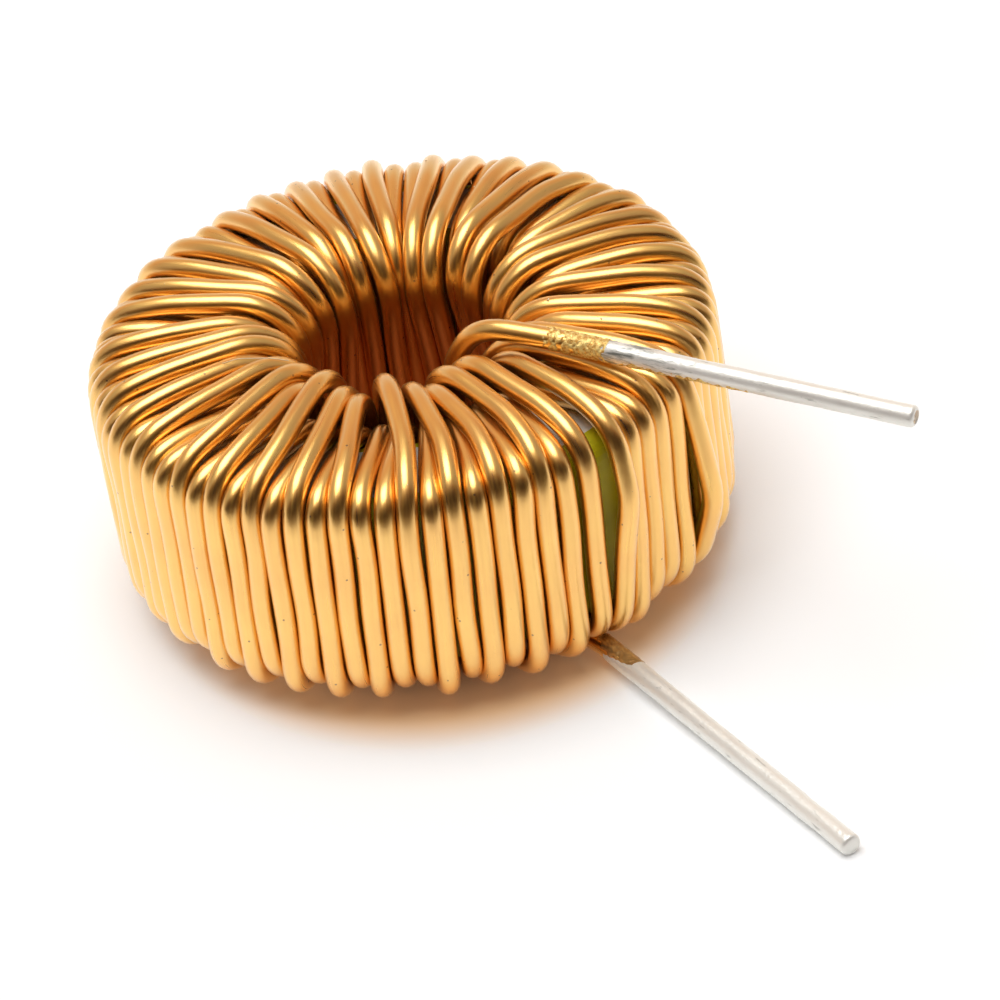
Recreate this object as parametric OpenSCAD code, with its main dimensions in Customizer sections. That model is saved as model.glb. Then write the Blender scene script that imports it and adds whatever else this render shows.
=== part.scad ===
// Toroidal inductor: a coated iron powder ring wound all round with one enamelled copper wire.
// Z is the ring's axis and the origin is the ring's centre. All lengths are in millimetres.

/* [Ring core] */
// Outside diameter of the coated ring
core_od = 23.9; // [20:0.1:32]
// Inside diameter of the coated ring
core_id = 14.2; // [11:0.1:16]
// Height of the coated ring
core_h = 7.92; // [5:0.01:14]
// Radius of the ring's edges
edge_r = 0.9; // [0.5:0.05:1.5]
// Thickness of the epoxy coat
coat_t = 0.25; // [0.1:0.05:0.4]

/* [Wire] */
// Diameter of the wire over its enamel
wire_d = 0.88; // [0.6:0.01:1.1]
// Diameter of the bare copper
bare_d = 0.8; // [0.5:0.01:1]
// Clearance between the wire and the ring
wire_fit = 0.02; // [0.01:0.01:0.1]
// Free space between two neighbouring turns on the outside
turn_gap = 0.028; // [0.02:0.001:0.2]

/* [Winding] */
// Angle of the first turn round the ring, in degrees
first_angle = 303; // [0:1:359]
// How far each outside leg leans to either side, in degrees
leg_lean = 1; // [0:0.1:1.5]
// How far the upper turns stand above the lower ones at the outside edge
outer_rise = 0.4; // [0.2:0.05:0.8]
// How far the upper turns lean in over the bore
funnel = 1.05; // [0.5:0.05:1.2]
// How far a loose turn bulges into the bore, as a share of how far it lifts
loose_reach = 0.5; // [0:0.1:0.6]

/* [Leads] */
// Free length of the upper lead beyond the winding
upper_lead_l = 10.6; // [6:0.1:30]
// Direction of the upper lead, in degrees
upper_lead_dir = -33.3; // [-60:0.1:0]
// Free length of the lower lead beyond the winding
lower_lead_l = 15; // [6:0.1:30]
// Direction of the lower lead, in degrees
lower_lead_dir = -64.6; // [-80:0.1:-50]
// Thickness of the solder on the free ends
tin_t = 0.03; // [0.02:0.01:0.1]
// Extra thickness of the solder where it meets the enamel
swell_t = 0.02; // [0.01:0.01:0.05]
// Length of the burnt enamel at the start of the upper lead's solder
crust_l = 2; // [0.5:0.1:2]
// Thickness of the burnt enamel
crust_t = 0.06; // [0.03:0.01:0.15]
// Length of the flux film at the start of the lower lead's solder
film_l = 1.5; // [0.5:0.1:1.6]
// Thickness of the flux film
film_t = 0.06; // [0.05:0.01:0.1]

/* [Hidden] */

wire_sides = 6;      // facets round the wire
corner_rings = 3;    // rings of facets at a full corner of a turn
hidden_rings = 2;    // the same where other turns hide the corner
round_fn = 48;       // facets of what is turned
skin_fit = 0.01;     // clearance of the solder, crust and film round the wire
collar_sides = 12;   // facets of the crust and the film

// Layers of the winding, as the places of the wire's centre
step = wire_d + wire_fit / 2;
face_z = core_h / 2 + wire_fit + wire_d / 2;
leg_r = core_od / 2 + wire_fit + wire_d / 2;
lower_r = core_id / 2 - wire_fit - wire_d / 2;
upper_r = lower_r - step;
lower_bend = edge_r + wire_fit + wire_d / 2;
upper_bend = lower_bend + step;
outer_bend = lower_bend + 0.7 * step;
dive_bend = lower_bend + 1.2 * step;
crown_bend = 6;
crown_place = 0.32;  // where an upper turn's arch is highest, as a share of its way inwards

// Where the bore's legs start, in degrees from the first turn: the upper lead's leg, then the
// first leg of the lower layer and of the upper one
lead_start = -2.5;
lower_start = 1.9;
upper_start = 5.5;

// Wider gaps between outside legs: [angle round the ring, extra degrees]
wide_gaps = [[305, 0.4], [318, 0.9], [652, 0.9]];
lead_slot = 1.2;     // extra degrees between the last turn and the first one
gap_sum = lead_slot + add([for (g = wide_gaps) g[1]]);

// The outside holds one layer, and the bore holds two
function fitting(r, gap) = floor(360 / deg((wire_d + gap) / r));
outer_fit = floor((360 - gap_sum) / deg((wire_d + turn_gap) / leg_r));
lower_fit = fitting(lower_r, wire_fit);
upper_fit = fitting(upper_r, wire_fit / 2);
turns = min(outer_fit, lower_fit + upper_fit - 1);
bore_legs = turns + 1;
upper_legs = max(2, bore_legs - lower_fit);
lower_legs = bore_legs - upper_legs;
pitch = (360 - gap_sum) / turns;

// Turns that were pulled less tight: [angle round the bore, lift above the upper turns]
loose_spots = [[9, 0.3], [23, 0.2], [36, 0.5], [50, 0.7], [63, 0.4], [90, 0.1], [117, 0.1],
               [131, 0.3], [158, 0.2], [185, 0.3], [212, 0.4], [225, 0.4], [252, 0.5],
               [279, 0.3], [293, 0.4], [308, 0.2]];
// Outside legs that stand away from the ring: [angle round the ring, greatest distance, height
// of that place as a share of the face's]
slack_legs = [[303, 0.8, 0.4], [325, 1.1, -0.3]];
// The first legs lean more than the others, so they open like a fan beside the leads
fan_lean = 1.4;      // extra lean of the first leg, in degrees
fan_turns = 2.5;     // number of turns over which it fades

function deg(radians) = radians * 180 / PI;
function add(v, i = 0) = i < len(v) ? v[i] + add(v, i + 1) : 0;
function unit(v) = v / norm(v);
function polar(r, a, z) = [r * cos(a), r * sin(a), z];
function heading(a, slope) = [cos(a) * cos(slope), sin(a) * cos(slope), sin(slope)];
function apart(a, b) = abs(((a - b) % 360 + 540) % 360 - 180);

// The first leg in the bore belongs to the upper lead, and is number 0. Upper turns are spread
// evenly among the others, and the first and the last turn are upper ones.
function upper_rank(i) = 1 + floor((i - 1) * (upper_legs - 2) / (turns - 1) + 1e-6);
function is_upper(i) = i <= 1 || upper_rank(i) > upper_rank(i - 1);
function outer_angle(i) =
    let (a = first_angle + pitch * (i - 1))
    a + add([for (g = wide_gaps) g[0] < a ? g[1] : 0]);
function bore_angle(i) =
    i == 0 ? first_angle + lead_start :
    is_upper(i) ? first_angle + upper_start + 360 / upper_legs * (upper_rank(i) - 1) :
                  first_angle + lower_start + 360 / lower_legs * (i - upper_rank(i) - 1);

// In the bore, two in three upper turns lie on top of the third one: they stand further in, and
// a little to the side, over it
function pile_place(i) = is_upper(i) ? (upper_rank(i) + 2) % 3 : 0;
function on_top(i) = pile_place(i) > 0 ? 1 : 0;
function dive_angle(i) = bore_angle(i) + [0, -1, 1][pile_place(i)] * 90 / upper_legs;
function lift(i) =
    is_upper(i) ? add([for (s = loose_spots)
                       apart(s[0], dive_angle(i)) < 120 / upper_legs ? s[1] : 0]) : 0;
function lean(i) = leg_lean + fan_lean * exp(-(i - 1) / fan_turns);
function slack_corner(i) =
    [for (s = slack_legs) if (apart(s[0], outer_angle(i)) < pitch / 2)
        [polar(leg_r + s[1], outer_angle(i) + lean(i) * s[2], s[2] * face_z), 3, 1]];

// Sharp corners of a turn. An upper turn starts low at the outside edge, crosses the lower ones
// at the crown of its arch and dives into the bore.
function bottom_outside(i) =
    polar(leg_r, outer_angle(i) - lean(i),
          -face_z - (i > 1 && is_upper(i - 1) ? 0.4 * outer_rise : 0));
function top_outside(i) =
    polar(leg_r, outer_angle(i) + lean(i), face_z + (is_upper(i) ? outer_rise : 0));
function top_inside(i) =
    is_upper(i) ? polar(upper_r - funnel - 0.9 * step * on_top(i) - loose_reach * lift(i),
                        dive_angle(i), face_z + (0.85 + 0.15 * on_top(i)) * step + lift(i)) :
                  polar(lower_r, bore_angle(i), face_z);
function bottom_inside(i) =
    is_upper(i) ? polar(upper_r, bore_angle(i), -face_z - step - 0.05) :
                  polar(lower_r, bore_angle(i), -face_z);
function crown(outside, inside, z) =
    let (p = outside + crown_place * (inside - outside)) [[p.x, p.y, z], crown_bend, 1];

// A corner of the wire's route: [sharp corner point, bend radius, rings of facets]
function turn_corners(i) =
    let (up = is_upper(i), up_before = i > 1 && is_upper(i - 1),
         low = bottom_outside(i), high = top_outside(i), dive = top_inside(i))
    concat(
        up_before ? [crown(low, bottom_inside(i - 1), -face_z - step)] : [],
        [[low, lower_bend, corner_rings]],
        slack_corner(i),
        [[high, up ? outer_bend : lower_bend, corner_rings]],
        up ? [crown(high, dive, face_z + step + 0.3 * lift(i))] : [],
        [[dive, up ? dive_bend : lower_bend, up ? corner_rings : hidden_rings],
         [bottom_inside(i), up ? upper_bend : lower_bend, hidden_rings]]);

// The upper lead rises out of the bore, arches over the winding and runs out straight
upper_elbow = polar(upper_r + 2.1, first_angle + 10.2, face_z + 2);
upper_slope = -4.1;
upper_run = leg_r + wire_d / 2 - norm([upper_elbow.x, upper_elbow.y]) + upper_lead_l;
upper_heading = heading(upper_lead_dir, upper_slope);
upper_tip = upper_elbow + upper_run * upper_heading;
upper_corners = [
    [upper_tip, 0, 1],
    [upper_elbow, 6, 1],
    [polar(upper_r - 0.65, first_angle + 1.6, face_z + 2.13), 2.2, corner_rings],
    [polar(upper_r - 2.6, first_angle - 4.5, face_z - 0.7), 3, 1],
    [polar(upper_r - 1.65, first_angle - 2, face_z * 0.2), 3, 1],
    [bottom_inside(0), upper_bend, hidden_rings]];

// The lower lead comes out from under the winding and slopes down a little, so that its tip is
// the lowest point of the part
lower_slope = -0.8;
lower_elbow = polar(leg_r - 0.5, first_angle - 5.2, -face_z - wire_d - 0.03);
lower_run = wire_d + 0.6 + lower_lead_l;
lower_heading = heading(lower_lead_dir, lower_slope);
lower_tip = lower_elbow + lower_run * lower_heading;
lower_corners = [[lower_elbow, 4, 1], [lower_tip, 0, 1]];

corners = concat(upper_corners, [for (i = [1:turns], c = turn_corners(i)) c], lower_corners);

// Rings of facets round a bend from p to s by way of the sharp corner q: n points whose joining
// lines touch the bend's arc from outside, so the wire never cuts inside its own bend radius.
function bend(p, q, s, radius, n) =
    let (u = unit(q - p), v = unit(s - q), angle = acos(min(1, u * v)))
    radius == 0 || angle < 0.01 ? [q] :
    let (reach = min(radius * tan(angle / 2), 0.49 * norm(q - p), 0.49 * norm(s - q)),
         r = reach / tan(angle / 2), inward = unit(v - (v * u) * u),
         centre = q - reach * u + r * inward, half = angle / n / 2)
    [for (j = [0:n - 1])
        centre + r / cos(half) * (sin((2 * j + 1) * half) * u - cos((2 * j + 1) * half) * inward)];

last_corner = len(corners) - 1;
route = concat(
    [corners[0][0]],
    [for (k = [1:last_corner - 1], p = bend(corners[k - 1][0], corners[k][0], corners[k + 1][0],
                                            corners[k][1], corners[k][2])) p],
    [corners[last_corner][0]]);

// Lengths of the stripped stretches, from each tip back to where the enamel starts
upper_bare = upper_run - 2.4;
lower_bare = lower_run - 1.9;
upper_strip = upper_tip - upper_bare * upper_heading;
lower_strip = lower_tip - lower_bare * lower_heading;
tin_r = bare_d / 2 + skin_fit + tin_t;
tip_wall = 0.15;     // solder that closes each tip
dip_l = 2;           // part of a lead's free length where its solder still thins

// The wire as stations [point, radius]: bare inside each tip, enamelled in between
shoulder = 0.02;     // length over which the enamel ends
stations = concat(
    [[upper_tip - tip_wall * upper_heading, bare_d / 2],
     [upper_strip + shoulder * upper_heading, bare_d / 2],
     [upper_strip, wire_d / 2]],
    [for (k = [1:len(route) - 2]) [route[k], wire_d / 2]],
    [[lower_strip, wire_d / 2],
     [lower_strip + shoulder * lower_heading, bare_d / 2],
     [lower_tip - tip_wall * lower_heading, bare_d / 2]]);

// One ring of facet corners, square to the wire and stretched where the wire bends
function wire_ring(k) =
    let (last = len(stations) - 1, here = stations[k][0], r = stations[k][1],
         t_in = unit(here - stations[max(k - 1, 0)][0] + (k == 0 ? stations[1][0] - here : [0, 0, 0])),
         t_out = unit(stations[min(k + 1, last)][0] - here
                      + (k == last ? here - stations[k - 1][0] : [0, 0, 0])),
         along = unit(t_in + t_out),
         around = [-here.y, here.x, 0],
         side = unit(around - (around * along) * along),
         out = cross(along, side) / (t_in * along))
    [for (j = [0:wire_sides - 1])
        here + r * (cos(360 * j / wire_sides) * side + sin(360 * j / wire_sides) * out)];

module sweep_wire() {
    rings = len(stations);
    points = [for (k = [0:rings - 1], p = wire_ring(k)) p];
    walls = [for (k = [0:rings - 2], j = [0:wire_sides - 1])
        let (a = k * wire_sides + j, b = k * wire_sides + (j + 1) % wire_sides)
        each [[a, b + wire_sides, b], [a, a + wire_sides, b + wire_sides]]];
    first_cap = [for (j = [1:wire_sides - 2]) [0, j, j + 1]];
    end = (rings - 1) * wire_sides;
    last_cap = [for (j = [1:wire_sides - 2]) [end, end + j + 1, end + j]];
    polyhedron(points, concat(walls, first_cap, last_cap), convexity = 20);
}

// Outline of a ring's section with rounded edges
module ring_section(inner_r, outer_r, height, r) {
    middle = (inner_r + outer_r) / 2;
    corner_x = (outer_r - inner_r) / 2 - r;
    corner_z = height / 2 - r;
    polygon([for (q = [0:3], a = [0:15:90])
        let (turn = 90 * q + a, sx = q == 0 || q == 3 ? 1 : -1, sz = q < 2 ? 1 : -1)
        [middle + sx * corner_x + r * cos(turn), sz * corner_z + r * sin(turn)]]);
}

module coated_section() { ring_section(core_id / 2, core_od / 2, core_h, edge_r); }
module core_section() {
    ring_section(core_id / 2 + coat_t, core_od / 2 - coat_t, core_h - 2 * coat_t, edge_r - coat_t);
}
module white_section() {
    translate([core_id / 2 + edge_r, core_h / 2 - coat_t])
        square([(core_od - core_id) / 2 - 2 * edge_r, coat_t]);
}

module iron_core() {
    color("dimgray") rotate_extrude($fn = round_fn * 2) core_section();
}

// The epoxy covers the edges, both walls and the lower face, up to the white paint on the top
module yellow_coat() {
    color("yellowgreen") rotate_extrude($fn = round_fn * 2)
        difference() {
            coated_section();
            core_section();
            white_section();
        }
}

module white_face() {
    color("white") rotate_extrude($fn = round_fn * 2) white_section();
}

module winding() {
    color("goldenrod") sweep_wire();
}

// Places what is turned about Z on a lead, with its foot at a point and its axis on a heading
module on_lead(foot, direction, slope) {
    translate(foot) rotate([0, 90 - slope, direction]) children();
}

// Solder round the stripped copper: it thins from the enamel to the free end, where it is straight,
// and is closed and slightly tapered at the tip
module tin_sleeve(length, free_l) {
    bore = bare_d / 2 + skin_fit;
    taper = 0.2;
    start = shoulder + skin_fit;
    rotate_extrude($fn = round_fn)
        polygon([[bore, start], [tin_r + swell_t, start], [tin_r, length - free_l],
                 [tin_r, length - taper],
                 [tin_r - taper / 2, length], [0, length], [0, length - tip_wall + skin_fit],
                 [bore, length - tip_wall + skin_fit]]);
}

module upper_tin() {
    color("silver") on_lead(upper_strip, upper_lead_dir, upper_slope)
        tin_sleeve(upper_bare, upper_lead_l - dip_l);
}

module lower_tin() {
    color("silver") on_lead(lower_strip, lower_lead_dir, lower_slope)
        tin_sleeve(lower_bare, lower_lead_l - dip_l);
}

// A lumpy collar on the enamel that ends where the solder starts
module collar(length, thickness, lumps) {
    bore = (wire_d / 2 + skin_fit) / cos(180 / collar_sides);
    rotate_extrude($fn = collar_sides)
        polygon(concat([[bore, 0]],
            [for (k = [0:2 * lumps])
                [bore + thickness * (k % 2 == 0 ? 0.7 : 1), -length * k / lumps / 2]],
            [[bore, -length]]));
}

module burnt_enamel() {
    color("darkgoldenrod") on_lead(upper_strip, upper_lead_dir, upper_slope)
        collar(crust_l, crust_t, 4);
}

module flux_film() {
    color("peru") on_lead(lower_strip, lower_lead_dir, lower_slope) collar(film_l, film_t, 2);
}

iron_core();
yellow_coat();
white_face();
winding();
upper_tin();
lower_tin();
burnt_enamel();
flux_film();
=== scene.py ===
# %% [markdown]
# # Toroidal inductor
# A toroidal inductor is a ring of pressed iron powder, coated with epoxy, with one copper wire
# wound round it. The solids of the ring come from the frame and only need a finish. The winding,
# the soldered lead ends and what sticks to them are made here, as surfaces that numpy works out.
# Lengths are in millimetres until a mesh is made, because wire and coat are that small.

# %% Load the frame
import math

import bpy
import numpy as np
from mathutils import Matrix, Vector


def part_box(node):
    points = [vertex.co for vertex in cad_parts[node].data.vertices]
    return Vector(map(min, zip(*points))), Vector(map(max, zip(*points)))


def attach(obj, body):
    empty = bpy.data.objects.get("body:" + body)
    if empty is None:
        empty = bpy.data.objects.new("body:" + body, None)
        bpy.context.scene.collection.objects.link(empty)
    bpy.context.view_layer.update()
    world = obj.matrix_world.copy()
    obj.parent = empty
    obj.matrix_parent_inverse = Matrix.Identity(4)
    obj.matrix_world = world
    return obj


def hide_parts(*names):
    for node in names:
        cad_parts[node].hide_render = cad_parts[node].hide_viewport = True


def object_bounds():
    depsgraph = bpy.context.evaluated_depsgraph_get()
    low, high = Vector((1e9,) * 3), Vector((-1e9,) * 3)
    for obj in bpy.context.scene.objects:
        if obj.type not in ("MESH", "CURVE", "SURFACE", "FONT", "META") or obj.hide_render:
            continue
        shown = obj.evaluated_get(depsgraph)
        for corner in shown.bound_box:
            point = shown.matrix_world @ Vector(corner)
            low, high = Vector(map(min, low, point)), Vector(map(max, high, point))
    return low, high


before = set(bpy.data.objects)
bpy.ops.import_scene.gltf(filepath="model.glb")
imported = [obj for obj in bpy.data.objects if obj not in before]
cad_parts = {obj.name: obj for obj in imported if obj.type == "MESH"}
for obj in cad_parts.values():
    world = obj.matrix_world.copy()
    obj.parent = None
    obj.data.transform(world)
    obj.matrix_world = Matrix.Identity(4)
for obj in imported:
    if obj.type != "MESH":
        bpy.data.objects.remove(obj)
cad_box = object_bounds()

MM = 0.001                     # one millimetre, in metres
RANDOM = np.random.default_rng(7)


def box_mm(name):
    """Lowest and highest corner of one of the frame's solids, in millimetres."""
    low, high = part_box(name)
    return np.array(low) / MM, np.array(high) / MM


coat_low, coat_high = box_mm("yellow_coat")
print("solids:", sorted(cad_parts), "ring:", (coat_high - coat_low).round(2))

# %% [markdown]
# ## Sizes
# The ring's outside and height are read from its solid. The bore, the wire and the way the turns
# are laid are the same choices as in the part's own source, so that the wire made here lies
# where the plain one does.

# %% Sizes
core_od = coat_high[0] - coat_low[0]
core_h = coat_high[2] - coat_low[2]
core_id = 14.2
edge_r = 0.9                   # radius of the ring's edges
wire_r = 0.44                  # wire over its enamel
bare_r = 0.40                  # bare copper
fit = 0.02                     # clearance between wire and ring
turn_gap = 0.028               # free space between neighbouring turns on the outside
first_angle = 303              # where the first turn stands, in degrees round the ring
lead_slot = 1.2                # extra degrees between the last turn and the first
wide_gaps = np.array([[305, 0.4], [318, 0.9], [652, 0.9]])   # angle, extra degrees after it

layer_step = 2 * wire_r + fit / 2             # from one layer of wire to the next
face_z = core_h / 2 + fit + wire_r            # wire that lies on a face of the ring
leg_r = core_od / 2 + fit + wire_r            # a leg on the outside wall
lower_r = core_id / 2 - fit - wire_r          # a leg on the bore's wall
upper_r = lower_r - layer_step                # a leg on top of those
lower_bend = edge_r + fit + wire_r            # the tightest bend follows the ring's edge
upper_bend = lower_bend + layer_step
outer_bend = lower_bend + 0.7 * layer_step    # an upper turn's, where it leaves the outside
dive_bend = lower_bend + 1.2 * layer_step     # and where it goes into the bore


def fitting(radius, gap):
    """How many wires stand side by side on a circle."""
    return math.floor(2 * math.pi * radius / (2 * wire_r + gap))


gap_sum = lead_slot + wide_gaps[:, 1].sum()
outer_fit = math.floor((360 - gap_sum) / math.degrees((2 * wire_r + turn_gap) / leg_r))
lower_legs = fitting(lower_r, fit)
turns = min(outer_fit, lower_legs + fitting(upper_r, fit / 2) - 1)
upper_legs = turns + 1 - lower_legs
pitch = (360 - gap_sum) / turns
print(f"{turns} turns, {lower_legs} legs on the bore's wall and {upper_legs} on top of them")

# %% [markdown]
# ## The wire's route
# The bore is too narrow for all the turns side by side, so they lie there in two layers, and
# nearly every second turn climbs over its neighbours on the ring's faces. A turn is four sharp
# corners, which are then rounded: out at the bottom, out at the top, in at the top and in at the
# bottom. Up to three more shape its arches and a leg that stands off. Each quantity is an array
# with one value for each turn, so a formula is written once.

# %% Where each turn goes
loose_spots = np.array([
    [9, 0.3], [23, 0.2], [36, 0.5], [50, 0.7], [63, 0.4], [90, 0.1], [117, 0.1], [131, 0.3],
    [158, 0.2], [185, 0.3], [212, 0.4], [225, 0.4], [252, 0.5], [279, 0.3], [293, 0.4],
    [308, 0.2]])               # angle round the bore, lift above the upper turns
slack_legs = np.array([[303, 0.8, 0.4], [325, 1.1, -0.3]])   # angle, distance, share of height


def apart(a, b):
    """Angle between two directions, in degrees, never more than 180."""
    return np.abs((a - b + 180) % 360 - 180)


def polar(radius, angle, z):
    """Points at a radius, an angle in degrees and a height, one row each."""
    radius, angle, z = np.broadcast_arrays(radius, np.radians(angle), z)
    return np.stack([radius * np.cos(angle), radius * np.sin(angle), z], axis=-1)


lower_shift, upper_shift = 1.9, 5.5           # degrees to the first leg of each layer
bore_pitch = 360 / upper_legs
turn = np.arange(1, turns + 1)
# rank counts the upper legs laid so far, spread evenly over the turns
rank = 1 + np.floor((turn - 1) * (upper_legs - 2) / (turns - 1) + 1e-6)
upper = np.r_[True, rank[1:] > rank[:-1]]
upper_before = np.r_[False, upper[:-1]]
even = first_angle + pitch * (turn - 1)
outer_angle = even + (wide_gaps[:, 0] < even[:, None]) @ wide_gaps[:, 1]
bore_angle = np.where(upper, first_angle + upper_shift + bore_pitch * (rank - 1),
                      first_angle + lower_shift + 360 / lower_legs * (turn - rank - 1))
print(int(upper.sum()), "turns cross over their neighbours")

# %% [markdown]
# Where the upper turns go into the bore, two in three lean onto the third one beside them. Some
# were pulled less tight and stand up as loops. The first outside legs lean most, so they open
# like a fan beside the leads, and the coat shows between them.

# %% How each turn differs from its neighbours
place_in_pile = np.where(upper, (rank + 2) % 3, 0).astype(int)
on_top = place_in_pile > 0
dive_angle = bore_angle + np.array([0, -1, 1])[place_in_pile] * bore_pitch / 4
loose = apart(loose_spots[:, 0], dive_angle[:, None]) < bore_pitch / 3
lift = np.where(upper, loose @ loose_spots[:, 1], 0)
slack = apart(slack_legs[:, 0], outer_angle[:, None]) < pitch / 2
slack_out, slack_height = (slack @ slack_legs[:, 1:]).T
lean = 1 + 1.4 * np.exp(-(turn - 1) / 2.5)
sag = RANDOM.uniform(0, 0.22, turns)          # no two legs end at quite the same height
stand_off = RANDOM.uniform(0, 0.07, turns)    # nor lie quite as close to the ring
uneven = np.sin(5.3 * turn)                   # how far a turn reaches into the bore also varies
print("loose turns:", int((lift > 0).sum()), "slack legs:", int(slack.any(1).sum()))

# %% [markdown]
# Over the face a turn is an arch, not a straight bar. The arch is highest a third of the way in,
# and an upper turn rests there in the groove between its two lower neighbours. Underneath, a
# turn that comes out of the upper layer passes below its neighbours in the same way.

# %% The corners of every turn
shoulder, low_shoulder = 0.32, 0.16    # how far an upper turn stands off the ring's outer edges
crown_place = 0.32             # where the arch is highest, as a share of the way in
lower_crown = 0.22             # how far a lower turn arches over the bare face
lift_share = 0.3               # how much of its lift a loose turn has at its crown
settled = 0.85                 # share of a layer at which a turn lies in a groove
funnel = 1.05                  # how far an upper turn leans into the bore at its top
uneven_reach = 0.18            # how much that varies
pile_reach = 0.9               # share of a layer that it leans in more on top of the pile
loose_reach = 0.5              # what it leans in more for each millimetre that it stands up
press = 0.05                   # how far the underside is squeezed out past its layer
face_bend, slack_bend = 6, 3   # radii of the arches and of a leg that stands off
hanging = 1.2                  # how much wider an upper turn bends into the bore, on average


def crown(outside, inside, z):
    """The top of the arch between an outside and an inside corner, at a height. An upper turn's
    lies over the groove between the two lower turns beside it, at their mean angle."""
    point = outside + crown_place * (inside - outside)
    own = np.degrees(np.unwrap(np.arctan2(point[:, 1], point[:, 0])))
    way = np.interp(turn, turn[~upper], own[~upper])
    way = np.where(upper & (turn > 2) & (turn < turns), way, own)    # the ends have one neighbour
    return polar(np.hypot(point[:, 0], point[:, 1]), way, z)


low = polar(leg_r + stand_off, outer_angle - lean, -face_z - low_shoulder * upper_before - sag)
middle = polar(leg_r + slack_out, outer_angle + lean * slack_height, slack_height * face_z)
high = polar(leg_r + stand_off, outer_angle + lean, face_z + shoulder * upper)
dive = np.where(
    upper[:, None],
    polar(upper_r - funnel - uneven_reach * uneven - pile_reach * layer_step * on_top
          - loose_reach * lift, dive_angle,
          face_z + np.where(on_top, 1, settled) * layer_step + lift),
    polar(lower_r, bore_angle, face_z))
foot = np.where(upper[:, None], polar(upper_r, bore_angle, -face_z - layer_step - press),
                polar(lower_r, bore_angle, -face_z))
before = np.roll(foot, 1, axis=0)
under = low + crown_place * (before - low)
under[:, 2] = -face_z - layer_step
over = crown(high, dive,
             face_z + np.where(upper, layer_step + lift_share * lift, lower_crown))
turn_corners = np.stack([under, low, middle, high, over, dive, foot], axis=1)
turn_bends = np.tile([face_bend, lower_bend, slack_bend, lower_bend, face_bend, lower_bend,
                      lower_bend], (turns, 1))
turn_bends[upper, 3:] = outer_bend, face_bend, dive_bend, upper_bend
turn_bends[upper, 5] += hanging + uneven[upper]
used = np.ones((turns, 7), bool)              # not every turn has its first and third corner
used[:, 0], used[:, 2] = upper_before, slack.any(1)
print(int(used.sum()), "corners in the turns")

# %% [markdown]
# The upper lead comes up through the bore, arches over the winding and runs out. The lower lead
# leaves under the last turn and slopes down a little, to its tip on the ground.

# %% The two leads


def heading(angle, slope):
    """Unit direction from an angle round the ring and a slope, in degrees."""
    flat = math.cos(math.radians(slope))
    return np.append(flat * polar(1, angle, 0)[:2], math.sin(math.radians(slope)))


upper_lead_l, lower_lead_l = 10.6, 15         # how far each lead stands out of the winding
upper_coated, lower_coated = 2.4, 1.9         # how much of its last run keeps the enamel
hidden_run = 2 * wire_r + 0.6                 # how far the lower lead runs under the winding
upper_way, lower_way = heading(-33.3, -4.1), heading(-64.6, -0.8)
upper_elbow = polar(upper_r + 2.1, first_angle + 10.2, face_z + 2)
upper_run = leg_r + wire_r - np.hypot(*upper_elbow[:2]) + upper_lead_l
upper_tip = upper_elbow + upper_run * upper_way
lower_elbow = polar(leg_r - 0.5, first_angle - 5.2, -face_z - 2 * wire_r - 0.03)
lower_run = hidden_run + lower_lead_l
lower_tip = lower_elbow + lower_run * lower_way
upper_bare, lower_bare = upper_run - upper_coated, lower_run - lower_coated
upper_strip = upper_tip - upper_bare * upper_way
lower_strip = lower_tip - lower_bare * lower_way

upper_corners = np.stack([
    upper_tip, upper_elbow,
    polar(upper_r - 0.65, first_angle + 1.6, face_z + 2.13),
    polar(upper_r - 2.6, first_angle - 4.5, face_z - 0.7),
    polar(upper_r - 1.65, first_angle - 2, face_z * 0.2),
    polar(upper_r, first_angle - 2.5, -face_z - layer_step - press)])
upper_bends, lower_bends = [0, face_bend, 2.2, 3, 3, upper_bend], [4, 0]
corners = np.concatenate([upper_corners, turn_corners[used], [lower_elbow, lower_tip]])
bends = np.concatenate([upper_bends, turn_bends[used], lower_bends])
print(len(corners), "corners; tips at", upper_tip.round(2), lower_tip.round(2))

# %% [markdown]
# ## From corners to a smooth route
# A bend of radius r between two straight runs is the arc that touches both. Worked out for all
# corners at once, it needs no loop. The route is then measured along its length, so that points
# can be laid close together in bends and further apart on straight runs.

# %% Round every corner


def unit(v):
    """Each row scaled to length one."""
    return v / np.linalg.norm(v, axis=-1, keepdims=True)


def rounded(points, radii, steps=10):
    """Arc at each inner corner q: centre = q - reach * u + r * inward, where u is the way in,
    inward points across the bend, and reach = r * tan(angle / 2) is where the arc starts."""
    way = points[1:] - points[:-1]
    span = np.linalg.norm(way, axis=1)
    u, v = unit(way[:-1]), unit(way[1:])
    angle = np.arccos(np.clip((u * v).sum(1), -1, 1))
    half = np.tan(angle / 2)
    reach = np.minimum(radii[1:-1] * half, 0.49 * np.minimum(span[:-1], span[1:]))
    r = (reach / half)[:, None]
    inward = unit(v - (v * u).sum(1, keepdims=True) * u)
    centre = points[1:-1] - reach[:, None] * u + r * inward
    t = (angle[:, None] * np.linspace(0, 1, steps))[..., None]
    arcs = centre[:, None] + r[:, None] * (np.sin(t) * u[:, None] - np.cos(t) * inward[:, None])
    return np.concatenate([points[:1], arcs.reshape(-1, 3), points[-1:]])


def lengths_along(points):
    """Distance of each point from the first one, along the line of points."""
    return np.r_[0, np.cumsum(np.linalg.norm(np.diff(points, axis=0), axis=1))]


def at_lengths(points, wanted):
    """Points of the line at the wanted distances along it."""
    along = lengths_along(points)
    return np.stack([np.interp(wanted, along, points[:, k]) for k in range(3)], axis=1)


sharp = rounded(corners, bends)
fine_step = 0.05
fine = at_lengths(sharp, np.arange(0, lengths_along(sharp)[-1], fine_step))
print(f"wire length {lengths_along(sharp)[-1] / 1000:.2f} m, {len(fine)} fine points")

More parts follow.
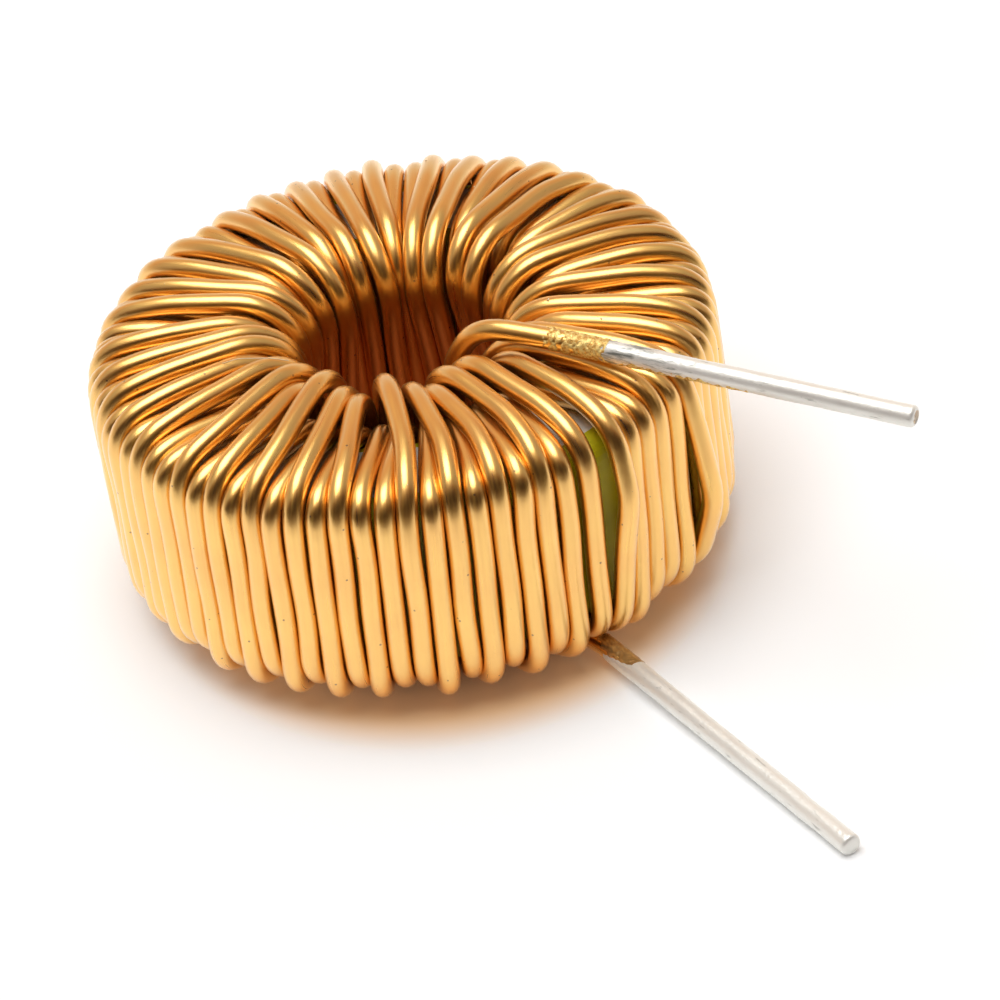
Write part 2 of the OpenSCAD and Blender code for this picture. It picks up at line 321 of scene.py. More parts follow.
# %% [markdown]
# Real wire springs back a little, so its bends fade into the straight runs. A short running
# average along the route gives that. Waves of a few hundredths of a millimetre, some
# millimetres long, then keep the turns from looking ruled.

# %% Let the wire relax
spring = 0.3                   # spread of the running average
window = int(3 * spring / fine_step)
weights = np.exp(-0.5 * (np.arange(-window, window + 1) * fine_step / spring) ** 2)
weights /= weights.sum()


def smooth(values):
    """Running average of each column, with the ends held straight."""
    head = 2 * values[0] - values[window:0:-1]
    tail = 2 * values[-1] - values[-2:-window - 2:-1]
    padded = np.concatenate([head, values, tail])
    return np.stack([np.convolve(padded[:, k], weights, "valid") for k in range(3)], axis=1)


relaxed = smooth(fine)
length = np.arange(len(fine)) * fine_step
periods = RANDOM.uniform(4, 11, (5, 3))                   # five waves in each direction
waves = np.sin(2 * np.pi * length[:, None, None] / periods + RANDOM.uniform(0, 6, (5, 3)))
from_ends = np.minimum(length, length[-1] - length)
waver = 0.012 * np.clip((from_ends - 20) / 10, 0, 1)      # height of a wave, none on the leads
relaxed = relaxed + waver[:, None] * waves.sum(axis=1)
print("largest shift:", np.linalg.norm(relaxed - fine, axis=1).max().round(3), "mm")

# %% Lay points closer in bends
tangent = unit(np.gradient(relaxed, axis=0))
turning = np.linalg.norm(np.gradient(tangent, axis=0), axis=1) / fine_step   # radians per mm
density = 1.1 + 4.0 * np.minimum(turning, 0.8)                               # points per mm
steps_along = np.r_[0, np.cumsum(density[:-1] * fine_step)]
places = np.interp(np.linspace(0, steps_along[-1], int(steps_along[-1])), steps_along, length)
cut = np.array([-0.02, 0.02])                 # two points close together where enamel ends
places = np.sort(np.r_[places, upper_bare + cut, length[-1] - lower_bare + cut])
stations = len(places)
centre_line = np.stack([np.interp(places, length, relaxed[:, k]) for k in range(3)], axis=1)
print(stations, "stations")

# %% [markdown]
# ## From numbers to a piece
# A mesh is a list of points and a list of faces, each of which names its corners. One function
# makes a smooth mesh of them, in metres, and lets it ride on the frame's root body.

# %% From numbers to a piece


def new_piece(name, points, faces, uv=None, body="root"):
    """A smooth mesh from points in millimetres, riding on a body of the frame."""
    mesh = bpy.data.meshes.new(name)
    mesh.from_pydata((points * MM).tolist(), [], faces)
    if uv is not None:
        mesh.uv_layers.new(name="wire").data.foreach_set("uv", np.asarray(uv, float).ravel())
    mesh.shade_smooth()
    piece = bpy.data.objects.new(name, mesh)
    bpy.context.scene.collection.objects.link(piece)
    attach(piece, body)
    return piece


# %% [markdown]
# ## Sweep a section along a route
# A tube is a grid of points: one row for each station, one column for each place round the wire.
# The section needs a steady direction to start from, and the way round the ring serves, because
# no stretch of this wire runs that way.

# %% A swept tube


def swept(line, radius, sides):
    """Grid of points round a line: centre + radius * (cos a * side + sin a * out), with side
    along the ring's circumference and out across it. radius is one value for each station, or
    one for each station and side."""
    along = unit(np.gradient(line, axis=0))
    around = np.stack([-line[:, 1], line[:, 0], np.zeros(len(line))], axis=1)
    side = unit(around - (around * along).sum(1, keepdims=True) * along)
    out = np.cross(along, side)
    a = 2 * np.pi * np.arange(sides) / sides
    spoke = np.cos(a)[:, None] * side[:, None] + np.sin(a)[:, None] * out[:, None]
    if np.ndim(radius) < 2:
        radius = np.broadcast_to(radius, len(line))[:, None]
    return line[:, None] + np.broadcast_to(radius, (len(line), sides))[..., None] * spoke


def tube_faces(rows, sides):
    """Four-sided walls between neighbouring rings, and one many-sided cap at each end. The
    corners of a face run anticlockwise as seen from outside, so that it points outwards."""
    row, column = np.meshgrid(np.arange(rows - 1), np.arange(sides), indexing="ij")
    a, b = row * sides + column, row * sides + (column + 1) % sides
    walls = np.stack([a, b, b + sides, a + sides], axis=-1).reshape(-1, 4)
    end = (rows - 1) * sides
    return walls.tolist() + [list(range(sides - 1, -1, -1)), list(range(end, end + sides))]


def tube_uv(line, radius, sides):
    """Millimetres along the wire and round it, for each corner of each face."""
    along = lengths_along(line)
    step = 2 * np.pi * radius / sides
    row, column = np.meshgrid(np.arange(len(line) - 1), np.arange(sides), indexing="ij")
    u0, u1 = along[row], along[row + 1]
    v0, v1 = column * step, (column + 1) * step
    walls = np.stack([u0, v0, u0, v1, u1, v1, u1, v0], axis=-1).reshape(-1, 2)
    cap = np.zeros((sides, 2))
    return np.concatenate([walls, cap + [along[0], 0], cap + [along[-1], 0]])


# %% [markdown]
# ## The winding
# The real winding is one copper wire, laid turn by turn with a shuttle, so it is one mesh here
# too, from tip to tip. Fourteen sides with smooth shading look round. Where the enamel was
# stripped the wire is kept thinner, because the solder covers it there.

# %% The winding
wire_sides = 14
along_wire = lengths_along(centre_line)
enamelled = (along_wire > upper_bare) & (along_wire < along_wire[-1] - lower_bare)
hidden_r = bare_r - 0.12       # well inside the solder
wire_radius = np.where(enamelled, wire_r, hidden_r)
grid = swept(centre_line, wire_radius, wire_sides)
winding = new_piece("winding_wire", grid.reshape(-1, 3), tube_faces(stations, wire_sides),
                    tube_uv(centre_line, wire_r, wire_sides))
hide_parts("winding")
print("winding:", 2 * stations * wire_sides, "triangles")

# %% [markdown]
# ## Solder on the free ends
# The ends were scraped and dipped in molten solder. It drew up the hot copper, froze with a
# thicker, uneven start at the enamel, and ran thin towards the cut tip. On the lower end it also
# crept up underneath, past the flux. The surface is a swept tube again, whose radius is a sum of
# waves in two directions: along the wire and round it.

# %% Uneven tubes


def ripple(along, around, count, coarse, fine):
    """Waves sin(m * around + w * along + phase) added up and scaled to a spread of one. Each m
    is a whole number, so that the pattern closes round the wire. Lengths run coarse to fine."""
    m = RANDOM.integers(0, max(2, int(2.5 / fine)), count)
    w = RANDOM.uniform(2 * np.pi / coarse, 2 * np.pi / fine, count) * RANDOM.choice([-1, 1], count)
    phase = RANDOM.uniform(0, 2 * np.pi, count)
    waves = np.sin(m * around[..., None] + w * along[..., None] + phase)
    return waves.sum(-1) / math.sqrt(count / 2)


def straight_grid(start, way, span, rows, sides):
    """A straight line of stations with, for each station and side, its length and its angle."""
    along = np.linspace(*span, rows)
    line = start + along[:, None] * way
    around = 2 * np.pi * np.arange(sides) / sides
    return line, *np.meshgrid(along, around, indexing="ij")


tin_rows, tin_sides = 280, 40
flux_side = 1.0                # side of the lower lead that the flux ran to, in radians round it


def tin_end(name, strip, way, bare, thick_l, early, node):
    """Solder from a ragged start at the enamel to a blunt, slightly rounded cut. The bead at its
    start fades as exp(-length / thick_l). Away from the flux it crept up by the length early."""
    line, along, around = straight_grid(strip, way, (0.02 - early, bare), tin_rows, tin_sides)
    skin = 0.04 + 0.02 * np.exp(-np.abs(along) / thick_l)
    radius = bare_r + skin + 0.004 * ripple(along, around, 14, 9, 2.0)     # slow swells
    radius += 0.0018 * ripple(along, around, 40, 1.0, 0.2)                 # and fine ones
    crept = early * np.clip(0.5 - 1.2 * np.cos(around - flux_side), 0, 1)
    ragged = along + crept - 0.3 - 0.14 * ripple(0 * along, around, 8, 5, 0.8)
    radius -= 0.05 * np.clip(1 - ragged / 0.25, 0, 1)           # under the enamel at first
    from_tip = (bare - along) / 0.14                            # the cut's edge is rounded
    radius *= np.sqrt(np.clip(1 - np.clip(1 - from_tip, 0, 1) ** 2 * 0.45, 0, 1))
    piece = new_piece(name, swept(line, radius, tin_sides).reshape(-1, 3),
                      tube_faces(tin_rows, tin_sides), tube_uv(line, wire_r, tin_sides))
    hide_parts(node)
    print(name, "radius", radius[20:-5].min().round(3), "to", radius.max().round(3), "mm")
    return piece


upper_tin = tin_end("upper_tin_dip", upper_strip, upper_way, upper_bare, 3.0, 0.0, "upper_tin")
lower_tin = tin_end("lower_tin_dip", lower_strip, lower_way, lower_bare, 2.0, 1.8, "lower_tin")

# %% [markdown]
# ## Burnt enamel and flux
# Where the dip ended, heat blistered the enamel into a golden crust, and some of it floated out
# along the underside of the solder. At the lower lead only a thin brown film of flux dried on,
# along its upper side. Each is a sheet round the wire that rises above the wire only where a wave
# pattern is high, so its edge is ragged.

# %% A sheet of residue
sheet_step, sheet_sides = 0.035, 72


def residue(name, start, way, span, base, height, cover, grain, node=None):
    """A sheet at radius base + height * noise, sunk into the wire where cover is below zero.
    cover is a function of the length along the wire and the angle round it, and its own waves
    make the edge ragged. The noise has waves of grain to four times grain millimetres."""
    rows = int((span[1] - span[0]) / sheet_step)
    line, along, around = straight_grid(start, way, span, rows, sheet_sides)
    shown = cover(along, around)
    bumps = 0.5 + 0.22 * ripple(along, around, 60, 4 * grain, grain)
    radius = base + height * np.clip(shown, -1, 0.5 + np.clip(bumps, 0, 1.2))
    ends = np.minimum(along - span[0], span[1] - along)         # both ends dip into the wire
    radius -= 0.08 * np.clip(1 - ends / 0.15, 0, 1)
    piece = new_piece(name, swept(line, radius, sheet_sides).reshape(-1, 3),
                      tube_faces(rows, sheet_sides), tube_uv(line, base, sheet_sides))
    if node:
        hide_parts(node)
    print(name, "up to", (radius.max() - base).round(3), "mm thick")
    return piece


# %% Crust, streak and film
crust = residue(
    "burnt_crust", upper_strip, upper_way, (-2.4, 0.5), wire_r, 0.03,
    lambda s, a: 1.1 - 0.6 * np.abs(s + 0.4) ** 1.5 + 0.9 * ripple(s, a, 30, 1.5, 0.25), 0.12,
    "burnt_enamel")
streak = residue(
    "burnt_streak", upper_strip, upper_way, (0.2, 6.5), wire_r + 0.018, 0.03,
    lambda s, a: 0.9 - 3.0 * np.abs(np.angle(np.exp(1j * (a + 2.5)))) - 0.12 * s
    + 0.45 * ripple(s, a, 14, 3, 0.4), 0.14)
film = residue(
    "dried_flux", lower_strip, lower_way, (-2.1, 0.6), wire_r, 0.03,
    lambda s, a: 1.5 * np.cos(a - flux_side) - 0.4 * np.abs(s + 0.7)
    + 0.3 * ripple(s, a, 16, 2, 0.4), 0.3, "flux_film")

# %% [markdown]
# ## Dust
# A wound coil gathers paper dust and lint. The dust is one mesh of small rough lumps that lie
# on turns, each an eight-sided solid with its corners pushed at random. Most are small, because
# a random share between 0 and 1 is raised to the third power. One short fibre lies beside them.

# %% Dust
lump_count = 90
on_face = np.flatnonzero((relaxed[:, 2] > face_z - 0.2) & (from_ends > 25))
spots = RANDOM.choice(on_face, lump_count)
lean_out = unit(np.array([0, 0, 1]) + 0.35 * RANDOM.normal(size=(lump_count, 3)))
lump_size = 0.016 + 0.045 * RANDOM.random(lump_count) ** 3
axes = np.array([[1, 0, 0], [-1, 0, 0], [0, 1, 0], [0, -1, 0], [0, 0, 1], [0, 0, -1]])
eight = np.array([[0, 2, 4], [2, 1, 4], [1, 3, 4], [3, 0, 4],
                  [2, 0, 5], [1, 2, 5], [3, 1, 5], [0, 3, 5]])     # its faces
lumps = (relaxed[spots] + wire_r * lean_out)[:, None] + lump_size[:, None, None] * (
    axes + 0.5 * RANDOM.normal(size=(lump_count, 6, 3)))
lump_faces = eight + 6 * np.arange(lump_count)[:, None, None]
dust = new_piece("dust", lumps.reshape(-1, 3), lump_faces.reshape(-1, 3).tolist())
print("dust lumps:", len(spots))

# %% A fibre
hair_rows, hair_sides, hair_r = 90, 6, 0.018
top = face_z + layer_step + wire_r
hair_points = polar([7.6, 7.0, 6.4, 6.0, 5.4], [196, 200, 203, 208, 211],
                    top + np.array([-0.1, 0.2, 0.12, 0.2, -0.1]))
hair_line = at_lengths(hair_points, np.linspace(0, lengths_along(hair_points)[-1], hair_rows))
hair_line[window:-window] = smooth(hair_line)[window:-window]
hair = new_piece("lint_hair", swept(hair_line, hair_r, hair_sides).reshape(-1, 3),
                 tube_faces(hair_rows, hair_sides))
print("fibre:", lengths_along(hair_line)[-1].round(2), "mm long")

# %% [markdown]
# ## Materials
# A colour is written as the sRGB value that a designer would pick, and one function turns it to
# the linear numbers that the renderer works with. Sockets go by name or by number. On a Mix node
# of colours 0 is the share, 6 the first colour and 7 the second. On a Map Range node 0 is the
# value, 1 and 2 the range that comes in, 3 and 4 the range that goes out.

# %% Colours and nodes


def linear(hex_colour):
    """sRGB hex to linear RGBA."""
    srgb = np.array([int(hex_colour[k:k + 2], 16) for k in (1, 3, 5)]) / 255
    rgb = np.where(srgb <= 0.04045, srgb / 12.92, ((srgb + 0.055) / 1.055) ** 2.4)
    return (*rgb.tolist(), 1.0)


def add(tree, kind, inputs=None, **settings):
    """A new node with its settings. An input that is a socket is linked, any other is a value."""
    made = tree.nodes.new(kind)
    for name, value in settings.items():
        setattr(made, name, value)
    for key, value in (inputs or {}).items():
        if isinstance(value, bpy.types.NodeSocket):
            tree.links.new(value, made.inputs[key])
        else:
            made.inputs[key].default_value = value
    return made


def new_material(name):
    """An empty node material, its tree and its surface output."""
    material = bpy.data.materials.new(name)
    material.use_nodes = True
    material.node_tree.nodes.clear()
    output = material.node_tree.nodes.new("ShaderNodeOutputMaterial")
    return material, material.node_tree, output.inputs["Surface"]


def finish_with(piece, material):
    """Make a material the only one of a piece."""
    piece.data.materials.clear()
    piece.data.materials.append(material)


# %% [markdown]
# ### Enamelled copper
# Copper rod is drawn through dies and baked with several coats of clear amber enamel. Drawing
# leaves fine lines along the wire, so one noise is stretched along it. The enamel turns the
# copper's red to gold, has a satin gloss of its own (the coat) and is never quite even. Its
# coats lie one over another and reflect more than one film would, so the coat's IOR is above a
# single resin's. Handling and the oven leave a few dark pits.

# %% Enamelled copper
copper, tree, surface = new_material("enamelled_copper_wire")
uv = add(tree, "ShaderNodeUVMap", uv_map="wire").outputs["UV"]
place = add(tree, "ShaderNodeTexCoord").outputs["Object"]
drawn = add(tree, "ShaderNodeMapping", {"Vector": uv, "Scale": (0.3, 9, 1)}).outputs[0]
lines = add(tree, "ShaderNodeTexNoise", {"Vector": drawn, "Scale": 1.0, "Detail": 4}).outputs[0]
grain = add(tree, "ShaderNodeTexNoise",
            {"Vector": place, "Scale": 1 / (0.07 * MM), "Detail": 2}).outputs[0]
patch = add(tree, "ShaderNodeTexNoise",
            {"Vector": place, "Scale": 1 / (2.5 * MM), "Detail": 3}).outputs[0]
tone = add(tree, "ShaderNodeMix", {0: patch, 6: linear("#F0AE48"), 7: linear("#FCCC5C")},
           data_type="RGBA").outputs[2]
dots = add(tree, "ShaderNodeTexVoronoi",
           {"Vector": place, "Scale": 1 / (0.8 * MM)}).outputs["Distance"]
pits = add(tree, "ShaderNodeMapRange", {0: dots, 1: 0.045, 2: 0.07, 3: 0.75, 4: 0.0}).outputs[0]
tone = add(tree, "ShaderNodeMix", {0: pits, 6: tone, 7: linear("#5A3212")},
           data_type="RGBA").outputs[2]
rough = add(tree, "ShaderNodeMapRange", {0: lines, 1: 0.3, 2: 0.7, 3: 0.26, 4: 0.40}).outputs[0]
ridge = add(tree, "ShaderNodeBump", {"Height": lines, "Strength": 0.35, "Distance": 0.01 * MM})
ridge = add(tree, "ShaderNodeBump", {"Height": grain, "Strength": 0.35, "Distance": 0.006 * MM,
                                     "Normal": ridge.outputs[0]}).outputs[0]
shader = add(tree, "ShaderNodeBsdfPrincipled", {
    "Base Color": tone, "Metallic": 1.0, "Roughness": rough, "Normal": ridge,
    "Coat Weight": 1.0, "Coat Roughness": 0.28, "Coat IOR": 1.95, "Coat Normal": ridge})
tree.links.new(shader.outputs[0], surface)
finish_with(winding, copper)
print("copper nodes:", len(tree.nodes))

# %% [markdown]
# ### Solder
# Tin solder freezes bright, with a frosting of fine crystals that scatter light, so it is only
# partly a mirror. Dull mottles lie along the wire, as the solder ran, where flux and air have
# reached it. The upper end was moved as it froze, and its first millimetres have most of them.

# %% Solder
solder, tree, surface = new_material("dipped_solder")
uv = add(tree, "ShaderNodeUVMap", uv_map="wire").outputs["UV"]
place = add(tree, "ShaderNodeTexCoord").outputs["Object"]
run = add(tree, "ShaderNodeMapping", {"Vector": uv, "Scale": (0.8, 5, 1)}).outputs[0]
mottle = add(tree, "ShaderNodeTexNoise", {"Vector": run, "Scale": 1.0, "Detail": 6,
                                          "Roughness": 0.65}).outputs[0]
frost = add(tree, "ShaderNodeTexNoise",
            {"Vector": place, "Scale": 1 / (0.05 * MM), "Detail": 3}).outputs[0]
height = add(tree, "ShaderNodeSeparateXYZ", {0: place}).outputs["Z"]
# the upper end lies higher, so its height tells it from the lower one
upper_end = add(tree, "ShaderNodeMapRange", {0: height, 1: -5 * MM, 2: 5 * MM}).outputs[0]
from_start = add(tree, "ShaderNodeSeparateXYZ", {0: uv}).outputs["X"]
late = add(tree, "ShaderNodeMapRange", {0: from_start, 1: 1.5, 2: 5.0, 3: 0.16,
                                        4: 0.0}).outputs[0]
dull = add(tree, "ShaderNodeMath", {0: late, 1: upper_end, 2: mottle},
           operation="MULTIPLY_ADD").outputs[0]
dull = add(tree, "ShaderNodeMapRange", {0: dull, 1: 0.60, 2: 0.76}).outputs[0]
tone = add(tree, "ShaderNodeMix", {0: dull, 6: linear("#F6F6F0"), 7: linear("#868880")},
           data_type="RGBA").outputs[2]
rough = add(tree, "ShaderNodeMapRange", {0: mottle, 1: 0.35, 2: 0.7, 3: 0.30, 4: 0.48}).outputs[0]
relief = add(tree, "ShaderNodeBump", {"Height": mottle, "Strength": 0.5, "Distance": 0.02 * MM})
relief = add(tree, "ShaderNodeBump", {"Height": frost, "Strength": 0.5, "Distance": 0.012 * MM,
                                      "Normal": relief.outputs[0]}).outputs[0]
shader = add(tree, "ShaderNodeBsdfPrincipled", {
    "Base Color": tone, "Metallic": 0.42, "Roughness": rough, "Normal": relief})
tree.links.new(shader.outputs[0], surface)
finish_with(upper_tin, solder)
finish_with(lower_tin, solder)
print("solder nodes:", len(tree.nodes))

# %% [markdown]
# ### Burnt enamel
# Enamel that boiled in the solder bath froze as a golden foam with solder in it: rough, darker
# where it charred, with metallic glints where a bubble is smooth.

# %% Burnt enamel
burnt, tree, surface = new_material("burnt_enamel_crust")
place = add(tree, "ShaderNodeTexCoord").outputs["Object"]
foam = add(tree, "ShaderNodeTexNoise", {"Vector": place, "Scale": 1 / (0.16 * MM), "Detail": 5,
                                        "Roughness": 0.7}).outputs[0]
char = add(tree, "ShaderNodeMapRange", {0: foam, 1: 0.38, 2: 0.56}).outputs[0]
tone = add(tree, "ShaderNodeMix", {0: char, 6: linear("#C98C30"), 7: linear("#FADE8C")},
           data_type="RGBA").outputs[2]
gloss = add(tree, "ShaderNodeMapRange", {0: foam, 1: 0.4, 2: 0.7, 3: 0.6, 4: 0.2}).outputs[0]
relief = add(tree, "ShaderNodeBump", {"Height": foam, "Strength": 0.8, "Distance": 0.04 * MM})
shader = add(tree, "ShaderNodeBsdfPrincipled", {
    "Base Color": tone, "Roughness": gloss, "Metallic": 0.4, "Normal": relief.outputs[0]})
tree.links.new(shader.outputs[0], surface)
finish_with(crust, burnt)
finish_with(streak, burnt)
print("burnt enamel nodes:", len(tree.nodes))

# %% [markdown]
# ### Dried flux
# Rosin flux dries as a clear brown varnish over the metal, with a glossy skin. It is pooled
# unevenly, and light brown where it is thin.

# %% Dried flux
flux, tree, surface = new_material("dried_rosin_flux")
place = add(tree, "ShaderNodeTexCoord").outputs["Object"]
pool = add(tree, "ShaderNodeTexNoise", {"Vector": place, "Scale": 1 / (0.5 * MM), "Detail": 3,
                                        "Roughness": 0.6}).outputs[0]
tone = add(tree, "ShaderNodeMix", {0: pool, 6: linear("#8A5A26"), 7: linear("#DDB878")},
           data_type="RGBA").outputs[2]
relief = add(tree, "ShaderNodeBump", {"Height": pool, "Strength": 0.4, "Distance": 0.03 * MM})
shader = add(tree, "ShaderNodeBsdfPrincipled", {
    "Base Color": tone, "Metallic": 0.5, "Roughness": 0.3, "Normal": relief.outputs[0],
    "Coat Weight": 1.0, "Coat Roughness": 0.08})
tree.links.new(shader.outputs[0], surface)
finish_with(film, flux)
print("flux nodes:", len(tree.nodes))

# %% [markdown]
# ### Coat, paint and iron
# The ring is sprayed with epoxy, whose colour tells the powder mix: lime yellow, with white paint
# on one face. A sprayed coat has a slight orange peel. Inside is pressed iron powder.

# %% Coat, paint and iron
for node, name, light, dark, speck, rough, metal in [
        ("yellow_coat", "lime_epoxy_coat", "#DEDA14", "#A49C08", 0.30, 0.45, 0.0),
        ("white_face", "white_face_paint", "#F2F1EA", "#DAD8CC", 0.40, 0.40, 0.0),
        ("iron_core", "pressed_iron_powder", "#6A6763", "#3B3936", 0.12, 0.65, 0.8)]:
    skin, tree, surface = new_material(name)
    place = add(tree, "ShaderNodeTexCoord").outputs["Object"]
    peel = add(tree, "ShaderNodeTexNoise",
               {"Vector": place, "Scale": 1 / (speck * MM), "Detail": 3}).outputs[0]
    cloud = add(tree, "ShaderNodeTexNoise",
                {"Vector": place, "Scale": 1 / (6 * speck * MM), "Detail": 4}).outputs[0]
    tone = add(tree, "ShaderNodeMix", {0: cloud, 6: linear(light), 7: linear(dark)},
               data_type="RGBA").outputs[2]
    relief = add(tree, "ShaderNodeBump", {"Height": peel, "Strength": 0.4,
                                          "Distance": 0.02 * MM})
    shader = add(tree, "ShaderNodeBsdfPrincipled", {
        "Base Color": tone, "Metallic": metal, "Roughness": rough,
        "Normal": relief.outputs[0]})
    tree.links.new(shader.outputs[0], surface)
    finish_with(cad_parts[node], skin)
    print(node, "is", name)

# %% [markdown]
# ### Lint
# Paper dust and cotton: pale, matt and slightly translucent.

# %% Lint
lint, tree, surface = new_material("paper_lint")
place = add(tree, "ShaderNodeTexCoord").outputs["Object"]
kind = add(tree, "ShaderNodeTexNoise", {"Vector": place, "Scale": 1 / (2 * MM)}).outputs[0]
tone = add(tree, "ShaderNodeMix", {0: kind, 6: linear("#F7EBD2"), 7: linear("#E8CFA0")},
           data_type="RGBA").outputs[2]
shader = add(tree, "ShaderNodeBsdfPrincipled", {
    "Base Color": tone, "Roughness": 0.8, "Subsurface Weight": 0.2,
    "Subsurface Radius": (0.02 * MM, 0.02 * MM, 0.02 * MM)})
tree.links.new(shader.outputs[0], surface)
finish_with(dust, lint)
finish_with(hair, lint)
print("lint nodes:", len(tree.nodes))

# %% [markdown]
# ## Studio
# The part lies on a sheet of white acrylic under one wide softbox. A polished wire shows little
# of itself and much of what is round it, so most of its look is made here: the pale sheet, with a
# painted glow in the wire's reflections, lights the legs, the softbox draws the highlights on top,
# and a dark side of the room draws the brown spots on the outer bends, which are the places that
# lean towards it.

# %% Lay a sheet under the part
floor_z = cad_box[0][2]
floor_mesh = bpy.data.meshes.new("floor")
floor_mesh.from_pydata([(x, y, floor_z) for x, y in [(-3, -3), (3, -3), (3, 3), (-3, 3)]],
                       [], [(0, 1, 2, 3)])
floor = bpy.data.objects.new("floor", floor_mesh)
bpy.context.scene.collection.objects.link(floor)
print("sheet at", round(floor_z / MM, 2), "mm")

# %% [markdown]
# ### White acrylic
# Opal acrylic is white all through. To the camera the sheet glows a little, so that it shows
# plain white, and its shadows stay soft. Its colour also holds painted light: close round the
# part a painted warm shade, coloured like light bounced off the copper, and under the part a
# painted brown shade, where it has no glow. In the wire's reflections the sheet has a painted
# glow just in front of the part, and is painted dark far in front. A Light Path node tells these
# reflections (glossy rays) from what the camera sees.

# %% Distances on the sheet
paper, tree, surface = new_material("white_acrylic_painted_shade")
seen = add(tree, "ShaderNodeLightPath")
place = add(tree, "ShaderNodeTexCoord").outputs["Object"]
ahead = add(tree, "ShaderNodeSeparateXYZ", {0: place}).outputs["Y"]
# away is the distance from the middle of the part's painted shade, which is a little narrower than
# long
away = add(tree, "ShaderNodeVectorMath", {0: place, 1: (1.1, 1, 0), 2: (-0.3 * MM, 1.3 * MM, 0)},
           operation="MULTIPLY_ADD").outputs[0]
away = add(tree, "ShaderNodeVectorMath", {0: away}, operation="LENGTH").outputs["Value"]
# Share away from the part: under it the sheet gets a painted brown shade and no glow
under = add(tree, "ShaderNodeMapRange", {0: away, 1: 7 * MM, 2: 11 * MM, 3: 0.0, 4: 1.0},
            interpolation_type="SMOOTHSTEP").outputs[0]
# Close to the part the sheet gets a painted warm shade, like light bounced off the copper
past_painted_warm_shade = add(tree, "ShaderNodeMapRange", {0: away, 1: 11 * MM, 2: 13.8 * MM, 3: 0.0, 4: 1.0},
             interpolation_type="SMOOTHSTEP").outputs[0]
# Painted dark: in the wire's reflections only, the sheet far in front turns dark brown
painted_dark_far_ahead = add(tree, "ShaderNodeMapRange", {0: ahead, 1: -80 * MM, 2: -25 * MM, 3: 0.9, 4: 0.0},
          interpolation_type="SMOOTHSTEP").outputs[0]
# A painted glow that the wire sees only in its reflections, brightest just in front of the part
painted_reflection_glow = add(tree, "ShaderNodeMapRange", {0: ahead, 1: -60 * MM, 2: -16 * MM, 3: 0.0, 4: 0.32},
            interpolation_type="SMOOTHSTEP").outputs[0]
print("distance nodes:", len(tree.nodes))

# %% Colour, painted shade and glow of the sheet
painted_dark_far_ahead = add(tree, "ShaderNodeMath", {0: seen.outputs["Is Glossy Ray"], 1: painted_dark_far_ahead},
          operation="MULTIPLY").outputs[0]
tone = add(tree, "ShaderNodeMix", {0: painted_dark_far_ahead, 6: linear("#F0F3F5"), 7: linear("#4A2E18")},
           data_type="RGBA").outputs[2]
# The painted warm shade close round the part
tone = add(tree, "ShaderNodeMix", {0: past_painted_warm_shade, 6: linear("#E8C498"), 7: tone},
           data_type="RGBA").outputs[2]
# Painted shade under the part: tan to the camera, red-brown in the wire's reflections
inside = add(tree, "ShaderNodeMix", {0: seen.outputs["Is Glossy Ray"],
                                     6: linear("#E2BE94"), 7: linear("#9A5028")},
             data_type="RGBA").outputs[2]
tone = add(tree, "ShaderNodeMix", {0: under, 6: inside, 7: tone}, data_type="RGBA").outputs[2]
white_glow_and_painted_shine = add(tree, "ShaderNodeMath", {0: seen.outputs["Is Glossy Ray"], 1: painted_reflection_glow},
           operation="MULTIPLY").outputs[0]
# The camera sees an even white glow, and the reflections the painted glow
white_glow_and_painted_shine = add(tree, "ShaderNodeMath", {0: seen.outputs["Is Camera Ray"], 1: 0.18, 2: white_glow_and_painted_shine},
           operation="MULTIPLY_ADD").outputs[0]
# No glow under the part, which deepens the painted shade there
white_glow_and_painted_shine = add(tree, "ShaderNodeMath", {0: white_glow_and_painted_shine, 1: under}, operation="MULTIPLY").outputs[0]
shader = add(tree, "ShaderNodeBsdfPrincipled", {
    "Base Color": tone, "Roughness": 0.5, "Emission Color": tone, "Emission Strength": white_glow_and_painted_shine})
tree.links.new(shader.outputs[0], surface)
finish_with(floor, paper)
print("acrylic nodes:", len(tree.nodes))

# %% [markdown]
# ### The room
# The room is painted as a function of one angle: how far a direction has turned from the back
# horizon (0), over the top (0.5), to the front horizon (1). White paper behind the part turns
# into a warm wall, which tints the flat tops of the turns. Grey surrounds the softbox, and the
# front of the room is brown and then nearly black.

# %% Room
world = bpy.data.worlds.new("room")
bpy.context.scene.world = world
world.use_nodes = True
tree = world.node_tree
tree.nodes.clear()
sky = add(tree, "ShaderNodeTexCoord").outputs["Generated"]
way = add(tree, "ShaderNodeSeparateXYZ", {0: sky})
turned = add(tree, "ShaderNodeMath", {0: way.outputs["Z"], 1: way.outputs["Y"]},
             operation="ARCTAN2").outputs[0]
share = add(tree, "ShaderNodeMath", {0: turned, 1: math.pi}, operation="DIVIDE").outputs[0]
ramp = add(tree, "ShaderNodeValToRGB", {0: share})
stops = [(0.0, "#F0F2F4"), (0.1, "#E6DAC8"), (0.2, "#E0A474"),      # paper, then a warm wall
         (0.3, "#B2ACA6"), (0.64, "#B2ACA6"),                       # grey ceiling
         (0.7, "#8C4C24"), (0.76, "#241006"), (0.92, "#1A0C06"),    # the dark side
         (1.0, "#604028")]                                          # its floor
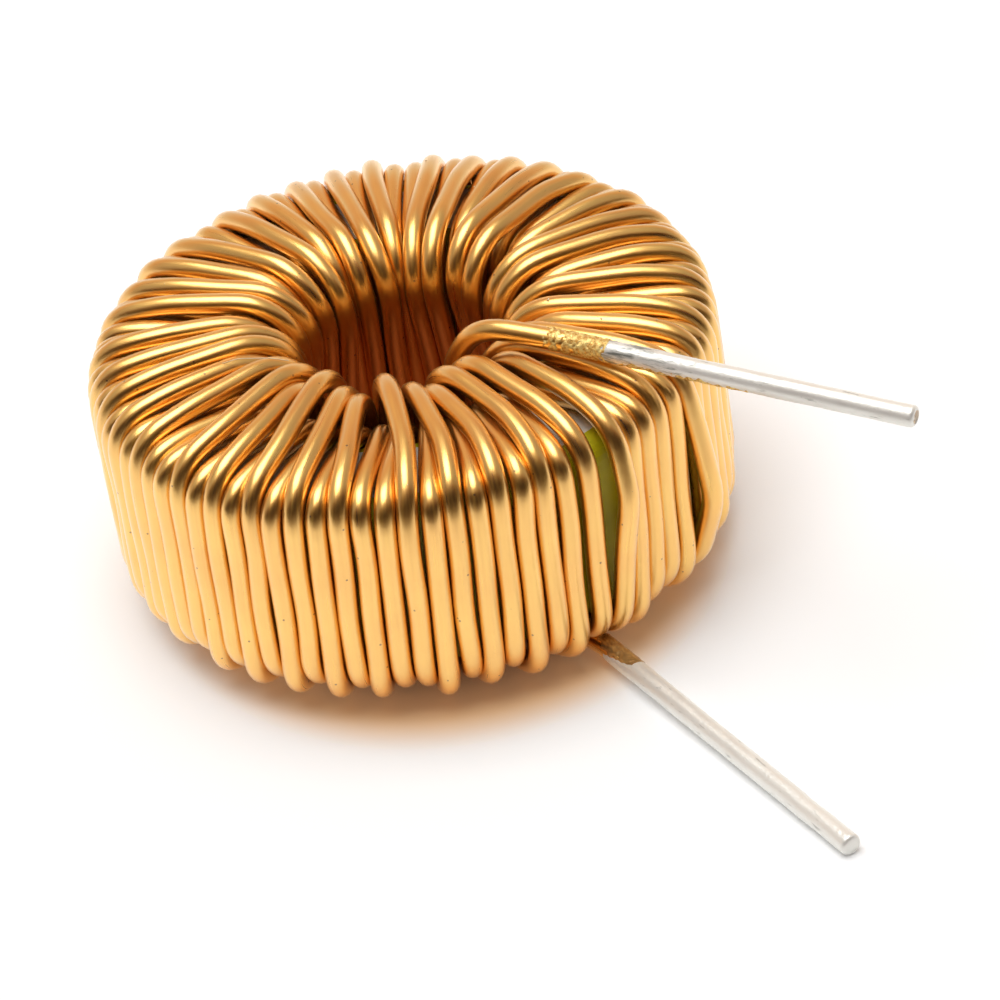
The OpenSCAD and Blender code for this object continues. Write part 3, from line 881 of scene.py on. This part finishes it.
while len(ramp.color_ramp.elements) < len(stops):
    ramp.color_ramp.elements.new(0.5)
for stop, (spot, colour) in zip(ramp.color_ramp.elements, stops):
    stop.position, stop.color = spot, linear(colour)
back = add(tree, "ShaderNodeBackground", {"Color": ramp.outputs["Color"], "Strength": 1.0})
add(tree, "ShaderNodeOutputWorld", {"Surface": back.outputs[0]})
print("room stops:", len(stops))

# %% [markdown]
# ### The softbox
# It hangs a metre over the part, a little to the left, so the shadow falls to the right. Its
# size sets how broad the highlights are, and its power brings the white sheet close to full
# white. The last line prints how bright its surface is.

# %% Softbox
lamp = bpy.data.lights.new("overhead_softbox", "AREA")
lamp.shape, lamp.size, lamp.size_y = "RECTANGLE", 0.84, 0.78      # metres
lamp.energy = 8.6                                                 # watts
holder = bpy.data.objects.new("overhead_softbox", lamp)
bpy.context.scene.collection.objects.link(holder)
holder.location = (-0.11, 0.0, 1.0)
holder.rotation_euler = (-holder.location).to_track_quat("-Z", "Y").to_euler()
holder.visible_camera = False
print("softbox", round(lamp.energy / (math.pi * lamp.size * lamp.size_y), 2), "W per m2 and sr")

# %% [markdown]
# ### The camera
# It looks down from the front with a long lens, and is rolled a little, as a hand-held one is.

# %% Camera
azimuth, elevation, roll = math.radians(-2.718), math.radians(35.301), math.radians(-9.329)
distance, aim = 192.589 * MM, np.array([2.573, -6.962, 0]) * MM
camera = bpy.data.cameras.new("camera")
camera.lens, camera.sensor_width = 174.3, 36
camera.clip_start, camera.clip_end = 0.01, 20
holder = bpy.data.objects.new("camera", camera)
bpy.context.scene.collection.objects.link(holder)
flat = math.cos(elevation)
back_way = Vector((math.sin(azimuth) * flat, -math.cos(azimuth) * flat, math.sin(elevation)))
holder.location = Vector(aim.tolist()) + distance * back_way
level = (-back_way).to_track_quat("-Z", "Y").to_matrix()
holder.rotation_euler = (level @ Matrix.Rotation(roll, 3, "Z")).to_euler()
bpy.context.scene.camera = holder
bpy.context.scene.view_settings.view_transform = "Standard"
print("camera", round(distance / MM), "mm away")
